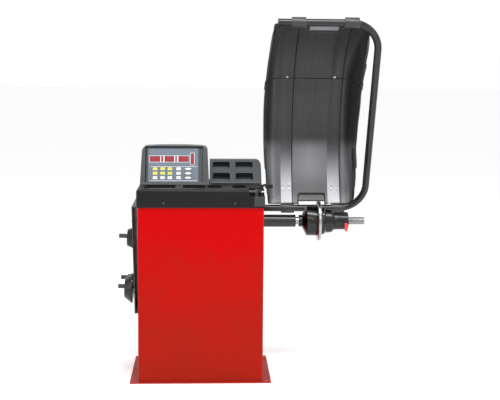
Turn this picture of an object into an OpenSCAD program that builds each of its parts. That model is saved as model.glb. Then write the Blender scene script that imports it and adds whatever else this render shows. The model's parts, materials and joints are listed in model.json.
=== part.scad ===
// Wheel balancer with a swinging wheel hood.
// Millimetres, +Z up. X runs to the right along the spindle, Y runs to the back.
// The origin is on the floor, at the centre of the cabinet's footprint.

/* [Cabinet] */
// Width of the red cabinet
cab_w = 580; // [560:5:600]
// Depth of the red cabinet
cab_d = 436; // [426:2:440]
// Height of the red cabinet's walls
cab_top = 866; // [860:1:870]
// Sheet thickness of the cabinet
sheet = 2; // [1.5:0.5:3]
// Width of the base plate
base_w = 660; // [640:5:680]
// Depth of the base plate
base_d = 460; // [450:5:480]
// Thickness of the base plate
base_t = 5; // [4:1:8]
// Diameter of the floor anchor holes
anchor_d = 14; // [10:1:16]

/* [Tray] */
// Height of the tray's top face
tray_top = 910; // [908:1:912]
// Height of the skirt's lower edge
skirt_z = 825; // [820:1:830]
// Depth of the weight wells in the tray
well_deep = 26; // [15:1:27]

/* [Display head] */
// Tilt of the display panel from upright
panel_tilt = 22; // [18:1:26]
// How far a key moves when pressed
key_travel = 0.5; // [0.3:0.1:0.6]

/* [Spindle] */
// Height of the spindle axis
axis_z = 733.5; // [730:0.5:740]
// Diameter of the shaft's threaded end
shaft_d = 36; // [34:1:38]
// Where the shaft ends on the right
shaft_end = 785; // [775:1:790]
// Diameter of the large face disc
disc_d = 191; // [180:1:200]
// Radial running clearance
run = 0.04; // [0.02:0.01:0.08]

/* [Hood] */
// How far the open hood's frame leans forward from upright
hood_lean = 23.5; // [18:0.5:26]
// Distance between the two cross bars of the hood's tube
hood_len = 1004; // [990:1:1010]
// Diameter of the hood's tube
tube_d = 35; // [34:0.5:35]
// Centre-line radius of the tube's bends
bend_r = 135; // [120:5:140]
// Radius of the hood's outer face in side view
hood_r = 594; // [590:1:598]
// Wall thickness of the hood's shells
hood_t = 4; // [3:0.5:5]

/* [Hidden] */
$fn = 64;
cab_x = cab_w / 2;
cab_y = cab_d / 2;
skirt_x = cab_x + 5;
skirt_y = cab_y + 5;
shaft_r = shaft_d / 2;
tube_r = tube_d / 2;
eps = 0.01;

// Inner shelf of the cabinet, and what stands on it
shelf_z = 640;
shelf_t = 8;
sensor_h = 12;
saddle_x = [-120, 120];

// Spindle, from left to right
pulley_x = -240;
pulley_w = 22;
housing_x0 = -180;
housing_x1 = 453;
housing_r = 29.5;
bearing_w = 15;
bearing_x = [-176, 434];
hub_x = 468;
bell_x0 = 505;
bell_x1 = 556;
bell_r = 71;
disc_x = 557;
disc_t = 15;
cup_x0 = 575;
cup_x1 = 635;
nut_x0 = 638;
nut_x1 = 705;
nut_r = 42;
lever_y = -47;
lever_z = axis_z - 8;

// Belt drive
driven_r = 70;
motor_r = 24;
motor_y = 60;
motor_z = 545;
belt_t = 4;
belt_gap = 0.3;

// Hood pivot
pivot_y = 330;
pivot_z = 750;
arm_x = 831;
bar_left = -120;
top_left = 355;
arc_u = hood_len / 2;
arc_v = -317;
rim_r = 1704;
rim_v = arc_v + hood_r - 4 - 198 - rim_r;
hood_x0 = 340;
hood_x1 = 748;
flare = 34;
joint_u = 600;
joint_v = 265;
joint_tilt = 14;

// Power switch and mains inlet, in the left wall
side_y = 190;
switch_z = 770;
inlet_z = 705;

// Distance gauge: its rod, the guide it slides in, and how far it comes out
rod_y = -190;
rod_z = 895;
rod_r = 6;
rod_left = -42;
rod_right = 292;
guide_left = 196;
guide_right = 260;
gauge_reach = 220;

// Accessory side
peg_r = 10.5;
peg_rise = 2.5;
cone_drop = shaft_r + run - peg_r - 0.1;

// Display panel: its frame's origin, and the columns and rows of keys
panel_y = 4;
panel_z = 910;
arch_r = 1730;
head_corner = 18;
key_cols = [-219, -183.3, -148.5, -107.5];
oval_col = -61.7;
key_rows = [74, 51.7, 29.8];
key_w = 21;
key_h = 14;
oval_w = 38;
oval_h = 11;
key_back = 3;
button_front = key_back + key_travel + 0.2;

// ---- helpers ----

// A box between two corners
module block(low, high) {
    translate(low) cube(high - low);
}

// A cylinder along +X from x0 to x1
module rod_x(r, x0, x1) {
    translate([x0, 0, 0]) rotate([0, 90, 0]) cylinder(r = r, h = x1 - x0);
}

// A body of revolution about the X axis, from points given as [x, radius]
module turned(points) {
    rotate([90, 0, 90]) rotate_extrude($fn = 96) polygon([for (p = points) [p[1], p[0]]]);
}

// Puts its children on the spindle axis
module on_spindle() {
    translate([0, 0, axis_z]) children();
}

// A rectangle with round corners
module round_rect(low, high, r) {
    translate([low[0] + r, low[1]]) square([high[0] - low[0] - 2 * r, high[1] - low[1]]);
    translate([low[0], low[1] + r]) square([high[0] - low[0], high[1] - low[1] - 2 * r]);
    for (x = [low[0] + r, high[0] - r])
        for (y = [low[1] + r, high[1] - r])
            translate([x, y]) circle(r, $fn = 32);
}

// A pan-head screw: its head stands on the plane z = 0, its shank goes down
module pan_screw(d, length) {
    difference() {
        cylinder(d = 2 * d, h = 0.6 * d, $fn = 24);
        translate([0, 0, 0.3 * d]) cube([1.3 * d, 0.22 * d, d], center = true);
        translate([0, 0, 0.3 * d]) cube([0.22 * d, 1.3 * d, d], center = true);
    }
    translate([0, 0, -length]) cylinder(d = d, h = length + eps, $fn = 24);
}

// Puts its children in the display panel's frame: x to the right, z up the slope, -y outwards
module on_panel() {
    translate([0, panel_y, panel_z]) rotate([-panel_tilt, 0, 0]) children();
}

// Puts its children in the hood's frame: z along the arm, y behind the arm's plane
module on_hood() {
    translate([0, pivot_y, pivot_z]) rotate([hood_lean, 0, 0]) children();
}

// Centre of key n in the panel's frame, counted along each row
function key_at(n) = [key_cols[n % 4], 0, key_rows[floor(n / 4)]];

// ---- base and cabinet ----

module anchor_holes() {
    for (p = [[318, -155], [318, 165], [-318, 5]])
        translate([p[0], p[1], -1]) cylinder(d = anchor_d, h = base_t + 2);
}

module base_plate() {
    color("#c81414") difference() {
        linear_extrude(base_t)
            round_rect([-base_w / 2, -base_d / 2], [base_w / 2, base_d / 2], 6);
        anchor_holes();
    }
}

module cabinet() {
    color("#d81010") difference() {
        union() {
            difference() {
                translate([0, 0, base_t]) linear_extrude(cab_top - base_t)
                    round_rect([-cab_x, -cab_y], [cab_x, cab_y], 5);
                block([-cab_x + sheet, -cab_y + sheet, base_t - 1],
                    [cab_x - sheet, cab_y + 1, cab_top + 1]);
            }
            // returns that the rear cover is screwed to
            for (s = [-1, 1])
                block([s * (cab_x - 15) - 15, cab_y - 6, base_t],
                    [s * (cab_x - 15) + 15, cab_y - 3, cab_top]);
            // welded shelf
            block([-cab_x + sheet, -cab_y + sheet, shelf_z - shelf_t],
                [cab_x - sheet, cab_y - 10, shelf_z]);
        }
        // way for the belt through the shelf
        block([pulley_x - 10, -90, shelf_z - shelf_t - 1], [pulley_x + pulley_w + 12, 110, shelf_z + 1]);
        // hole for the spindle housing
        on_spindle() rod_x(housing_r + 3, cab_x - 10, cab_x + 10);
        // corner for the gauge
        block([243, -cab_y - 10, 832], [cab_x + 10, -160, cab_top + 1]);
        // openings for the power switch and the mains inlet
        block([-cab_x - 5, side_y - 16, switch_z - 21], [-cab_x + 5, side_y + 16, switch_z + 21]);
        block([-cab_x - 5, side_y - 17, inlet_z - 15], [-cab_x + 5, side_y + 17, inlet_z + 15]);
        cover_holes(6.1);
        skirt_holes(5.1);
    }
}

module rear_cover() {
    color("#c81414") difference() {
        block([-cab_x + 4, cab_y - 3, base_t + 3], [cab_x - 4, cab_y, skirt_z - 3]);
        for (i = [0:9])
            block([-150, cab_y - 5, 180 + 20 * i], [150, cab_y + 5, 188 + 20 * i]);
        cover_holes(6.6);
    }
}

screw_z = 847;

// Puts its children at each screw of the rear cover, +z pointing out
module at_cover_screws() {
    for (x = [-272, 272])
        for (z = [60, 290, 540, 790])
            translate([x, cab_y, z]) rotate([-90, 0, 0]) children();
}

// Puts its children at each screw of the tray's skirt, +z pointing out
module at_skirt_screws() {
    for (x = [-170, 158])
        translate([x, -skirt_y, screw_z]) rotate([90, 0, 0]) children();
    for (s = [-1, 1])
        for (y = [-110, 110])
            translate([s * skirt_x, y, screw_z]) rotate([0, s * 90, 0]) children();
}

module cover_holes(d) {
    at_cover_screws() translate([0, 0, -20]) cylinder(d = d, h = 30);
}

module skirt_holes(d) {
    at_skirt_screws() translate([0, 0, -20]) cylinder(d = d, h = 30);
}

module cabinet_screws() {
    color("#6b6d70") {
        at_cover_screws() pan_screw(6, 10);
        at_skirt_screws() pan_screw(5, 12);
    }
}

// ---- spindle ----

module force_sensors() {
    color("#b8a24a") for (x = saddle_x)
        translate([x, 0, shelf_z]) difference() {
            cylinder(r = 18, h = sensor_h);
            translate([0, 0, -1]) cylinder(r = 6, h = sensor_h + 2);
        }
}

module spindle_bracket() {
    foot = shelf_z + sensor_h;
    color("#3a3c40") difference() {
        union() {
            block([-160, -60, foot], [160, 60, foot + 8]);
            for (x = saddle_x)
                block([x - 8, -46, foot], [x + 8, 46, axis_z + 44]);
        }
        on_spindle() rod_x(housing_r, -200, 200);
        for (x = saddle_x)
            translate([x + 24, 0, foot - 1]) cylinder(r = 6, h = 12);
    }
}

module spindle_housing() {
    color("#2b2c2e") on_spindle() difference() {
        turned([[housing_x0, 0], [housing_x0, housing_r], [housing_x1 - 2, housing_r],
            [housing_x1, housing_r - 2], [housing_x1, 0]]);
        rod_x(21, housing_x0 - 1, housing_x1 + 1);
        rod_x(26, housing_x0 - 1, bearing_x[0] + bearing_w);
        rod_x(26, bearing_x[1], housing_x1 + 1);
    }
}

module bearings() {
    color("#c9ccd0") on_spindle() for (x = bearing_x) {
        difference() {
            rod_x(26, x, x + bearing_w);
            rod_x(22, x - 1, x + bearing_w + 1);
        }
        difference() {
            rod_x(16, x, x + bearing_w);
            rod_x(12.5 + run, x - 1, x + bearing_w + 1);
        }
        for (a = [0:40:320])
            rotate([a, 0, 0]) translate([x + bearing_w / 2, 0, 19]) sphere(r = 2.99, $fn = 24);
    }
}

module main_shaft() {
    color("#8f9296") on_spindle() union() {
        rod_x(10, -276, pulley_x + pulley_w);
        rod_x(12.5, pulley_x + pulley_w - eps, bearing_x[0] + bearing_w + 2);
        rod_x(17, bearing_x[0] + bearing_w + 2 - eps, bearing_x[1] - 2);
        rod_x(12.5, bearing_x[1] - 2 - eps, bearing_x[1] + bearing_w + 1);
        rod_x(shaft_r, bearing_x[1] + bearing_w + 1 - eps, nut_x1 + 1);
        rod_x(shaft_r - 1, nut_x1 + 1 - eps, nut_x1 + 3);
        rod_x(shaft_r, nut_x1 + 3 - eps, shaft_end - 3);
        translate([shaft_end - 3, 0, 0]) rotate([0, 90, 0])
            cylinder(r1 = shaft_r, r2 = shaft_r - 2.5, h = 3);
    }
}

module hub_flange() {
    color("#2e2f31") on_spindle() turned([
        [hub_x, shaft_r], [hub_x, 28], [hub_x + 16, 28], [bell_x0, bell_r], [bell_x1, bell_r],
        [bell_x1, 52], [bell_x0 + 12, 52], [bell_x0 + 2, 30], [bell_x0 + 2, shaft_r]]);
}

module face_disc() {
    r = disc_d / 2;
    color("#a9acb0") on_spindle() turned([
        [bell_x1, 34], [bell_x1, r - 3], [disc_x + 3, r], [disc_x + disc_t - 4, r],
        [disc_x + disc_t, r - 4], [disc_x + disc_t, 34]]);
}

// Points of one ring of the spring's wire, turn by turn from its left end
spring_turns = 4;
spring_steps = 18;
spring_wire = 2.2;
spring_len = 38;
function spring_ring(i) =
    let (a = 360 * i / spring_steps, f = i / (spring_turns * spring_steps), r = 44 - 16 * f)
    [for (k = [0:60:300])
        let (q = r + spring_wire * cos(k))
        [bell_x0 + 14 + spring_len * f + spring_wire * sin(k), q * cos(a), q * sin(a)]];

module centring_spring() {
    rings = spring_turns * spring_steps;
    points = [for (i = [0:rings]) for (p = spring_ring(i)) p];
    ends = [[for (k = [0:5]) k], [for (k = [5:-1:0]) rings * 6 + k]];
    sides = [for (i = [0:rings - 1]) for (k = [0:5])
        let (n = (k + 1) % 6)
        [i * 6 + k, (i + 1) * 6 + k, (i + 1) * 6 + n, i * 6 + n]];
    color("#b9bcc0") on_spindle() polyhedron(points, concat(ends, sides), convexity = 8);
}

module pressure_cup() {
    color("#3b3f42") on_spindle() turned([
        [cup_x0 + 4, 56], [cup_x0 + 4, 66], [cup_x0 + 12, 66.5], [cup_x0 + 20, 58],
        [cup_x1 - 10, 56], [cup_x1 - 4, 50], [cup_x1, 49], [cup_x1, shaft_r + run],
        [cup_x1 - 14, shaft_r + run], [cup_x1 - 14, 48], [cup_x0 + 14, 50]]);
}

module cup_ring() {
    color("#1c1c1d") on_spindle() turned([
        [disc_x + disc_t + 0.3, 56], [disc_x + disc_t + 0.3, 65.5], [cup_x0 + 4, 65.5], [cup_x0 + 4, 56]]);
}

module quick_nut() {
    color("#34373a") difference() {
        union() {
            on_spindle() turned([
                [nut_x0, shaft_r + run], [nut_x0, nut_r - 1], [nut_x0 + 6, nut_r],
                [nut_x0 + 6, nut_r + 1], [nut_x0 + 12, nut_r + 1], [nut_x0 + 12, nut_r],
                [nut_x1 - 3, nut_r], [nut_x1, nut_r - 3], [nut_x1, shaft_r + run]]);
            // ears of the lever
            for (x = [nut_x1 - 22, nut_x1 - 3])
                difference() {
                    block([x - 3, lever_y - 5, lever_z - 5], [x + 1, -36, lever_z + 6]);
                    translate([0, lever_y, lever_z]) rod_x(2 + run, x - 4, x + 2);
                }
        }
        on_spindle() rod_x(shaft_r + run, nut_x0 - 1, nut_x1 + 1);
        // flat behind the lever
        block([nut_x1 - 20.7, -nut_r - 2, axis_z - nut_r - 2],
            [nut_x1 - 6.3, -34, lever_z + 6.5]);
    }
}

module release_lever() {
    color("#d8301c") {
        translate([0, lever_y, lever_z]) rod_x(2, nut_x1 - 25, nut_x1 - 2);
        translate([0, lever_y, lever_z]) rotate([-14, 0, 0]) {
            block([nut_x1 - 20, -3, -3], [nut_x1 - 7, 3, 4]);
            block([nut_x1 - 20, -3, -34], [nut_x1 - 7, 1.5, -2.9]);
            block([nut_x1 - 20, -7, -36], [nut_x1 - 7, 1.5, -32]);
        }
    }
}

// ---- drive ----

module driven_pulley() {
    color("#9ea1a5") on_spindle() difference() {
        turned([
            [pulley_x, 10], [pulley_x, driven_r + 3], [pulley_x + 2, driven_r + 3],
            [pulley_x + 2, driven_r], [pulley_x + pulley_w - 2, driven_r],
            [pulley_x + pulley_w - 2, driven_r + 3], [pulley_x + pulley_w, driven_r + 3],
            [pulley_x + pulley_w, 10]]);
        for (a = [0:60:300])
            rotate([a, 0, 0]) translate([0, 0, 42]) rod_x(13, pulley_x - 1, pulley_x + pulley_w + 1);
    }
}

// Outline round both pulleys with straight runs between them, grown by grow:
// one arc on each pulley, from tangent point to tangent point
module belt_outline(grow) {
    dz = motor_z - axis_z;
    lean = atan2(dz, motor_y);
    side = acos((driven_r - motor_r) / norm([motor_y, dz]));
    big_turn = 360 - 2 * side;
    small_turn = 2 * side;
    big = [for (i = [0:48])
        let (a = lean + side + big_turn * i / 48)
        [(driven_r + grow) * cos(a), axis_z + (driven_r + grow) * sin(a)]];
    small = [for (i = [0:24])
        let (a = lean - side + small_turn * i / 24)
        [motor_y + (motor_r + grow) * cos(a), motor_z + (motor_r + grow) * sin(a)]];
    polygon(concat(big, small));
}

module drive_belt() {
    color("#161616") translate([pulley_x + 3, 0, 0]) rotate([90, 0, 90])
        linear_extrude(pulley_w - 6) difference() {
            belt_outline(belt_gap + belt_t);
            belt_outline(belt_gap);
        }
}

module motor() {
    color("#54585c") difference() {
        union() {
            translate([0, motor_y, motor_z]) turned([
                [-192, 0], [-192, 24], [-186, 24], [-182, 52], [-178, 55], [-42, 55],
                [-38, 48], [-38, 0]]);
            for (a = [200:20:340])
                translate([0, motor_y, motor_z]) rotate([a + 90, 0, 0])
                    block([-170, -1.2, 54], [-50, 1.2, 60]);
            for (x = [-165, -75])
                block([x, motor_y - 45, motor_z + 20], [x + 20, motor_y + 45, shelf_z - shelf_t]);
        }
        translate([0, motor_y, motor_z]) rod_x(7 + run, -193, -120);
    }
}

module motor_pulley() {
    color("#9ea1a5") translate([0, motor_y, motor_z]) {
        turned([
            [pulley_x, 0], [pulley_x, motor_r + 3], [pulley_x + 2, motor_r + 3],
            [pulley_x + 2, motor_r], [pulley_x + pulley_w - 2, motor_r],
            [pulley_x + pulley_w - 2, motor_r + 3], [pulley_x + pulley_w, motor_r + 3],
            [pulley_x + pulley_w, 7], [-122, 7], [-122, 0]]);
    }
}

module encoder_disc() {
    color("#d5d8da") on_spindle() difference() {
        rod_x(52, -262, -260);
        rod_x(10, -263, -259);
        for (a = [0:15:345])
            rotate([a, 0, 0]) block([-263, -1.6, 40], [-259, 1.6, 49]);
    }
}

module encoder_sensor() {
    color("#1d5c34") difference() {
        union() {
            block([-270, -12, axis_z - 62], [-252, 12, axis_z - 36]);
            block([-270, -20, shelf_z], [-252, 20, axis_z - 62]);
        }
        block([-264, -13, axis_z - 56], [-258, 13, axis_z - 35]);
    }
}

// ---- electrics ----

module main_board() {
    color("#1f6b3a") on_panel() {
        block([-240, 20, 20], [-20, 22, 165]);
        for (p = [[-244, -196], [-174, -129], [-108, -60]])
            block([p[0], 9, 111], [p[1], 20, 136]);
        block([-47, 9, 97], [-36, 20, 150]);
        // push buttons behind the keys
        for (n = [0:11])
            translate(key_at(n)) block([-4, button_front, -4], [4, 20, 4]);
        for (z = key_rows)
            block([oval_col - 4, button_front, z - 4], [oval_col + 4, 20, z + 4]);
        block([-210, 22, 60], [-160, 30, 110]);
        block([-120, 22, 40], [-60, 26, 90]);
    }
}

module mains_inlet() {
    color("#1b1b1c") translate([-cab_x, side_y, inlet_z]) difference() {
        union() {
            block([0, -17, -15], [24, 17, 15]);
            block([-3, -23, -21], [0, 23, 21]);
        }
        block([-4, -12, -11], [16, 12, 11]);
        for (y = [-19.5, 19.5])
            translate([-4, y, 0]) rotate([0, 90, 0]) cylinder(r = 1.5, h = 8, $fn = 20);
    }
    color("#c0a050") translate([-cab_x, side_y, inlet_z]) for (y = [-7, 0, 7])
        block([4, y - 1, -2], [16.5, y + 1, 2]);
}

module switch_body() {
    color("#1b1b1c") translate([-cab_x, side_y, switch_z]) difference() {
        union() {
            block([0, -16, -21], [26, 16, 21]);
            block([-2, -20, -25], [0, 20, 25]);
        }
        block([-3, -12, -17], [18, 12, 17]);
        translate([6, -17, 0]) rotate([-90, 0, 0]) cylinder(r = 2.5 + run, h = 34);
    }
}

module switch_rocker() {
    color("#a51616") translate([-cab_x + 6, side_y, switch_z]) rotate([90, 0, 0]) {
        translate([0, 0, -11.5]) linear_extrude(23)
            polygon([[-10, 15.5], [-8, 0], [-13.5, -14.5], [-2, -13], [3, 0], [-2, 14]]);
        translate([0, 0, -15.9]) cylinder(r = 2.5, h = 31.8);
    }
}

// ---- tray ----

// Left and right ends of the wells for balance weights
wells = [[-262, -118], [-84, 22], [30, 98], [146, 212]];
well_y = [-160, -34];
well_corner = 9;
tray_t = 3;

// Outlines of the wells seen from above, grown by grow
module well_outlines(grow) {
    for (w = wells)
        round_rect([w[0] - grow, well_y[0] - grow], [w[1] + grow, well_y[1] + grow], well_corner + grow);
}

module tray_outer() {
    r = 14;
    intersection() {
        translate([0, 0, skirt_z]) linear_extrude(tray_top - skirt_z)
            round_rect([-skirt_x, -skirt_y], [skirt_x, skirt_y], 12);
        rotate([90, 0, 0]) translate([0, 0, -skirt_y - 1]) linear_extrude(2 * skirt_y + 2)
            round_rect([-skirt_x, skirt_z - 40], [skirt_x, tray_top], r);
        rotate([90, 0, 90]) translate([0, 0, -skirt_x - 1]) linear_extrude(2 * skirt_x + 2)
            round_rect([-skirt_y, skirt_z - 40], [skirt_y, tray_top], r);
    }
}

module top_tray() {
    color("#1f2022") difference() {
        union() {
            difference() {
                tray_outer();
                block([-cab_x - 0.5, -cab_y - 0.5, skirt_z - 1], [cab_x + 0.5, cab_y + 0.5, cab_top]);
                difference() {
                    block([-270, -200, cab_top - 1], [270, 200, tray_top - 4]);
                    block([214, -201, cab_top - 2], [271, -144, tray_top]);
                }
            }
            translate([0, 0, tray_top - well_deep - tray_t]) linear_extrude(well_deep) well_outlines(tray_t);
        }
        translate([0, 0, tray_top - well_deep]) linear_extrude(well_deep + 1) well_outlines(0);
        // notch for the gauge
        block([220, -skirt_y - 1, 876.5], [skirt_x + 1, -150, tray_top + 1]);
        block([245.5, -skirt_y - 1, 834], [cab_x + 1.5, -164, 878]);
        skirt_holes(5.1);
        // way for the gauge's rod
        translate([0, rod_y, rod_z]) rod_x(rod_r + 1.5, 200, 230);
    }
}

// ---- display head ----

// Side view of the head, as [y, z]
head_side = [
    [-17, 910], [-13, 918], [52, 1079], [58, 1085], [76, 1089], [140, 1089], [160, 1080],
    [170, 1062], [174, 910]];

// The head seen from the front: sides that lean in, an arched top and round corners, grown by grow
module head_form(grow) {
    translate([0, 300, 0]) rotate([90, 0, 0]) linear_extrude(500) difference() {
        intersection() {
            polygon([[-291 - grow, 880], [40 + grow, 880], [30 + grow, 1100], [-281 - grow, 1100]]);
            translate([-125.5, 1090 - arch_r]) circle(arch_r + grow, $fn = 256);
        }
        for (side = [-1, 1])
            translate([-125.5 + side * (156 - head_corner), 1083 - head_corner])
                difference() {
                    translate([side > 0 ? 0 : -50, 0]) square([50, 50]);
                    circle(head_corner + grow, $fn = 64);
                }
    }
}

module head_housing() {
    color("#26282b") difference() {
        intersection() {
            translate([-291, 0, 0]) rotate([90, 0, 90]) linear_extrude(331) polygon(head_side);
            head_form(0);
        }
        // recess between the cheeks, whose inner sides slope
        on_panel() translate([0, 0, 4]) linear_extrude(180)
            polygon([[-260, 0], [7, 0], [13, -40], [-277, -40]]);
        // hollow inside, with a ledge that the back cover lies on
        intersection() {
            union() {
                block([-287, -10, 905], [36, 160, 1084]);
                block([-281, 159, 921], [30, 168, 1065]);
            }
            on_panel() block([-288, 3, -30], [37, 300, 178]);
            head_form(-4);
        }
        intersection() {
            block([-287.2, 167.5, 913.8], [36.2, 180, 1072.2]);
            head_form(-3.8);
        }
        // openings for the windows and the keys
        on_panel() {
            for (p = window_boxes)
                block([p[0], -1, p[2]], [p[1], 4, p[3]]);
            for (n = [0:11])
                translate(key_at(n))
                    block([-key_w / 2 - 0.3, -1, -key_h / 2 - 0.3], [key_w / 2 + 0.3, 4, key_h / 2 + 0.3]);
            for (z = key_rows)
                block([oval_col - oval_w / 2 - 0.3, -1, z - oval_h / 2 - 0.3],
                    [oval_col + oval_w / 2 + 0.3, 4, z + oval_h / 2 + 0.3]);
        }
    }
}

module head_back() {
    color("#232527") difference() {
        intersection() {
            block([-287, 167.5, 914], [36, 170, 1072]);
            head_form(-4);
        }
        for (i = [0:7])
            block([-200, 166, 940 + 12 * i], [-60, 172, 945 + 12 * i]);
    }
}

// Windows of the display as [left, right, bottom, top] in the panel's frame
window_boxes = [
    [-244.4, -195.4, 110, 137], [-190.4, -181, 110, 137], [-174.7, -129, 110, 137],
    [-123, -116.1, 110, 137], [-108.6, -59.6, 110, 137], [-48.3, -34.7, 96, 151]];

module panel_overlay() {
    color("#5c6773") on_panel() difference() {
        block([-252, -0.8, 8], [-13, 0, 178]);
        for (p = window_boxes)
            block([p[0], -2, p[2]], [p[1], 1, p[3]]);
        for (n = [0:11])
            translate(key_at(n))
                block([-key_w / 2 - 0.3, -2, -key_h / 2 - 0.3], [key_w / 2 + 0.3, 1, key_h / 2 + 0.3]);
        for (z = key_rows)
            block([oval_col - oval_w / 2 - 0.3, -2, z - oval_h / 2 - 0.3],
                [oval_col + oval_w / 2 + 0.3, 1, z + oval_h / 2 + 0.3]);
    }
}

module display_windows() {
    color("#b01828") on_panel() for (p = window_boxes)
        block([p[0], -0.6, p[2]], [p[1], 3, p[3]]);
}

// A square key cap in place n
module square_key(n) {
    on_panel() translate(key_at(n)) rotate([90, 0, 0]) translate([0, 0, -key_back]) linear_extrude(5)
        round_rect([-key_w / 2, -key_h / 2], [key_w / 2, key_h / 2], 2);
}

// An oval key cap in row n, its rounded ends made of two large arcs
module oval_key(n) {
    arc = (pow(oval_w / 2, 2) + pow(oval_h / 2, 2)) / oval_h;
    on_panel() translate([oval_col, 0, key_rows[n]]) rotate([90, 0, 0]) translate([0, 0, -key_back])
        linear_extrude(5) intersection() {
            translate([0, arc - oval_h / 2]) circle(arc, $fn = 96);
            translate([0, oval_h / 2 - arc]) circle(arc, $fn = 96);
            square([oval_w - 2, oval_h], center = true);
        }
}

module key_1() { color("#d9d94a") square_key(0); }
module key_2() { color("#d9d94a") square_key(1); }
module key_3() { color("#d9d94a") square_key(2); }
module key_4() { color("#e8e8e8") square_key(3); }
module key_5() { color("#d9d94a") square_key(4); }
module key_6() { color("#d9d94a") square_key(5); }
module key_7() { color("#d9d94a") square_key(6); }
module key_8() { color("#e8e8e8") square_key(7); }
module key_9() { color("#e8e8e8") square_key(8); }
module key_10() { color("#e8e8e8") square_key(9); }
module key_11() { color("#e8e8e8") square_key(10); }
module key_12() { color("#e8e8e8") square_key(11); }
module oval_key_1() { color("#e8e8e8") oval_key(0); }
module oval_key_2() { color("#e8e8e8") oval_key(1); }
module oval_key_3() { color("#e8e8e8") oval_key(2); }

// ---- weight pockets ----

pocket_tilt = 42;
pocket_y = 52;
pocket_t = 3;

// Side view of the pocket unit, as [y, z], and the same shape drawn in by its wall
pocket_side = [[48, 910], [50, 914], [148, 1011], [156, 1014], [200, 1014], [208, 1006], [210, 910]];
pocket_inner = [[56, 909], [56, 914], [149, 1006.5], [156, 1011], [199, 1011], [205, 1005], [207, 909]];

// Puts its children on the sloping front: x to the right, z up the slope, y into the unit
module on_slope() {
    translate([0, pocket_y, 912]) rotate([-pocket_tilt, 0, 0]) children();
}

// The pockets' hollows from depth d0 to d1, grown by grow
pocket_cols = [[56, 140], [166, 252]];
pocket_rows = [[6, 58], [82, 128]];
pocket_deep = 34;
pocket_corner = 9;
module pocket_boxes(grow, d0, d1) {
    on_slope() translate([0, d1, 0]) rotate([90, 0, 0]) linear_extrude(d1 - d0)
        for (x = pocket_cols)
            for (z = pocket_rows)
                round_rect([x[0] - grow, z[0] - grow], [x[1] + grow, z[1] + grow], pocket_corner + grow);
}

module weight_pockets() {
    color("#2c2f31") difference() {
        union() {
            difference() {
                translate([42, 0, 0]) rotate([90, 0, 90]) linear_extrude(250) polygon(pocket_side);
                translate([45, 0, 0]) rotate([90, 0, 90]) linear_extrude(218) polygon(pocket_inner);
                block([262, 126, 909], [289, 207, 985]);
            }
            intersection() {
                pocket_boxes(pocket_t, 0, pocket_deep + pocket_t);
                translate([42, 0, 0]) rotate([90, 0, 90]) linear_extrude(250) polygon(pocket_side);
            }
        }
        // rounded right shoulder
        translate([292, 0, 1014]) rotate([90, 0, 0]) translate([0, 0, -250]) linear_extrude(300)
            difference() {
                translate([-26, -26]) square(30);
                translate([-26, -26]) circle(26);
            }
        pocket_boxes(0, -12, pocket_deep);
    }
}

// ---- distance gauge ----

module gauge_guide() {
    color("#202123") difference() {
        union() {
            block([246, -227, 834.5], [291, -164.5, 876]);
            block([guide_right - 10, -206, 875], [guide_right, -174, 908]);
            translate([0, rod_y, rod_z]) {
                rod_x(rod_r + 3, 222, guide_right);
                rod_x(rod_r + 1.3, guide_left, 223);
            }
        }
        translate([0, rod_y, rod_z]) rod_x(rod_r + run, guide_left - 1, guide_right + 1);
    }
}

module gauge_rod() {
    color("#b4b7bb") translate([0, rod_y, rod_z]) {
        rod_x(rod_r, rod_left, rod_right);
        // stop that keeps the rod from coming out of its guide
        rod_x(rod_r + 2.5, guide_left - gauge_reach - 12, guide_left - gauge_reach - 4);
    }
}

// Centre line of the gauge's arm: an arc from the rod's hub up to the tip
module gauge_arm() {
    color("#1a1b1c") translate([0, rod_y, 0]) difference() {
        union() {
            translate([0, 0, rod_z]) rod_x(12, 262, 278);
            translate([300, 0, 897]) rotate([90, 0, 0]) translate([0, 0, -4]) linear_extrude(8)
                intersection() {
                    difference() {
                        circle(36);
                        circle(25);
                    }
                    polygon([[0, 0], [-40, -4], [-40, 40], [-2, 40]]);
                }
            block([296, -8, 912], [330, 8, 930]);
            block([290, -4, 922], [300, 4, 932]);
        }
        translate([0, 0, rod_z]) rod_x(rod_r + run, 250, rod_right + 0.5);
    }
}

// ---- hood ----

// Rounds a cross bar into the arm: a quarter torus
module tube_bend() {
    rotate_extrude(angle = 90, $fn = 96) translate([bend_r, 0]) circle(tube_r);
}

module hood_tube() {
    color("#1d1e1f") on_hood() tube_shape();
}

module tube_shape() {
    union() {
        rod_x(tube_r, bar_left, arm_x - bend_r);
        translate([arm_x - bend_r, 0, bend_r]) rotate([90, 0, 0]) rotate([0, 0, -90]) tube_bend();
        translate([arm_x, 0, bend_r]) cylinder(r = tube_r, h = hood_len - 2 * bend_r);
        translate([arm_x - bend_r, 0, hood_len - bend_r]) rotate([90, 0, 0]) tube_bend();
        translate([0, 0, hood_len]) rod_x(tube_r, top_left, arm_x - bend_r);
    }
}

// Clamps on the two cross bars, and their straps
clamp_low_x = [440, 697];
clamp_top_x = [452, 700];
clamp_w = 66;
clamp_t = 8;
strap_t = 5;
strap_end = 112;

// Ends of the two shells along the arm, and how far their pockets stand back
hood_u0 = 15;
hood_u1 = hood_len - hood_u0;
pocket_back = 14;

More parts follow.
